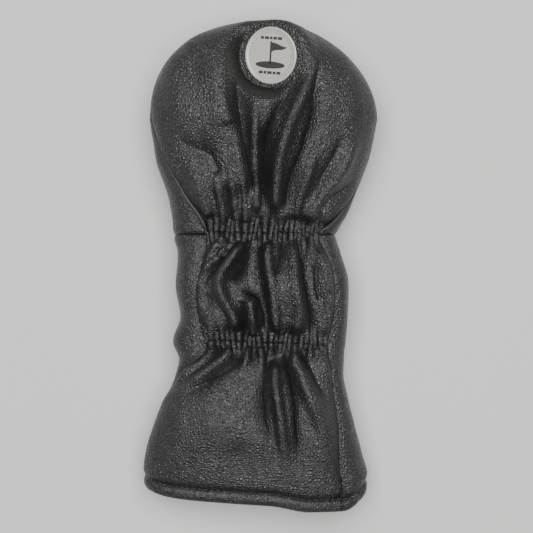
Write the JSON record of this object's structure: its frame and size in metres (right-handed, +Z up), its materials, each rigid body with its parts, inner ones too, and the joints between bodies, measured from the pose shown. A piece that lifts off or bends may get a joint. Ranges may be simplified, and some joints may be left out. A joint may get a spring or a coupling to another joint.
{
  "type": "driver head cover",
  "caption": "Padded leather-look golf driver head cover with a rounded dome, a twice-gathered elastic neck, a flared bound mouth and a round magnet badge.",
  "frame": {"origin": "bottom centre of the box round the cover as it lies on its front", "axes": "+Y from the mouth to the crown of the dome, +Z up out of the gathered back panel, +X to the right seen from above with the dome up"},
  "size_m": [0.1572, 0.3277, 0.0782],
  "materials": {
    "leather": "pebbled, semi-gloss",
    "piping_leather": "smooth, semi-gloss",
    "binding_leather": "fine grain, semi-gloss",
    "cord": "twisted cotton",
    "foam": "matt closed-cell foam",
    "plush": "short pile",
    "elastic": "woven band",
    "badge_skin": "silver-cream, satin",
    "badge_ink": "printed",
    "badge_thread": "spun polyester",
    "thread": "spun polyester",
    "magnet_metal": "nickel-plated",
    "plate_steel": "zinc-plated",
    "pocket_cloth": "plain weave",
    "label_cloth": "satin ribbon"
  },
  "bodies": {
    "root": {"back_panel": "leather", "front_crown_panel": "leather", "front_neck_panel": "leather", "piping_cover": "piping_leather", "piping_cord": "cord", "hem_binding_back": "binding_leather", "hem_binding_front": "binding_leather", "crown_foam": "foam", "neck_foam": "foam", "back_lining": "plush", "front_lining": "plush", "upper_elastic": "elastic", "lower_elastic": "elastic", "badge_patch": "badge_skin", "badge_emblem": "badge_ink", "badge_thread": "badge_thread", "magnet": "magnet_metal", "magnet_plate": "plate_steel", "magnet_pocket": "pocket_cloth", "upper_gather_thread": "thread", "lower_gather_thread": "thread", "hem_thread": "thread", "left_seam_thread": "thread", "right_seam_thread": "thread", "crown_seam_thread": "thread", "care_label": "label_cloth", "care_label_thread": "thread"}
  },
  "joints": []
}
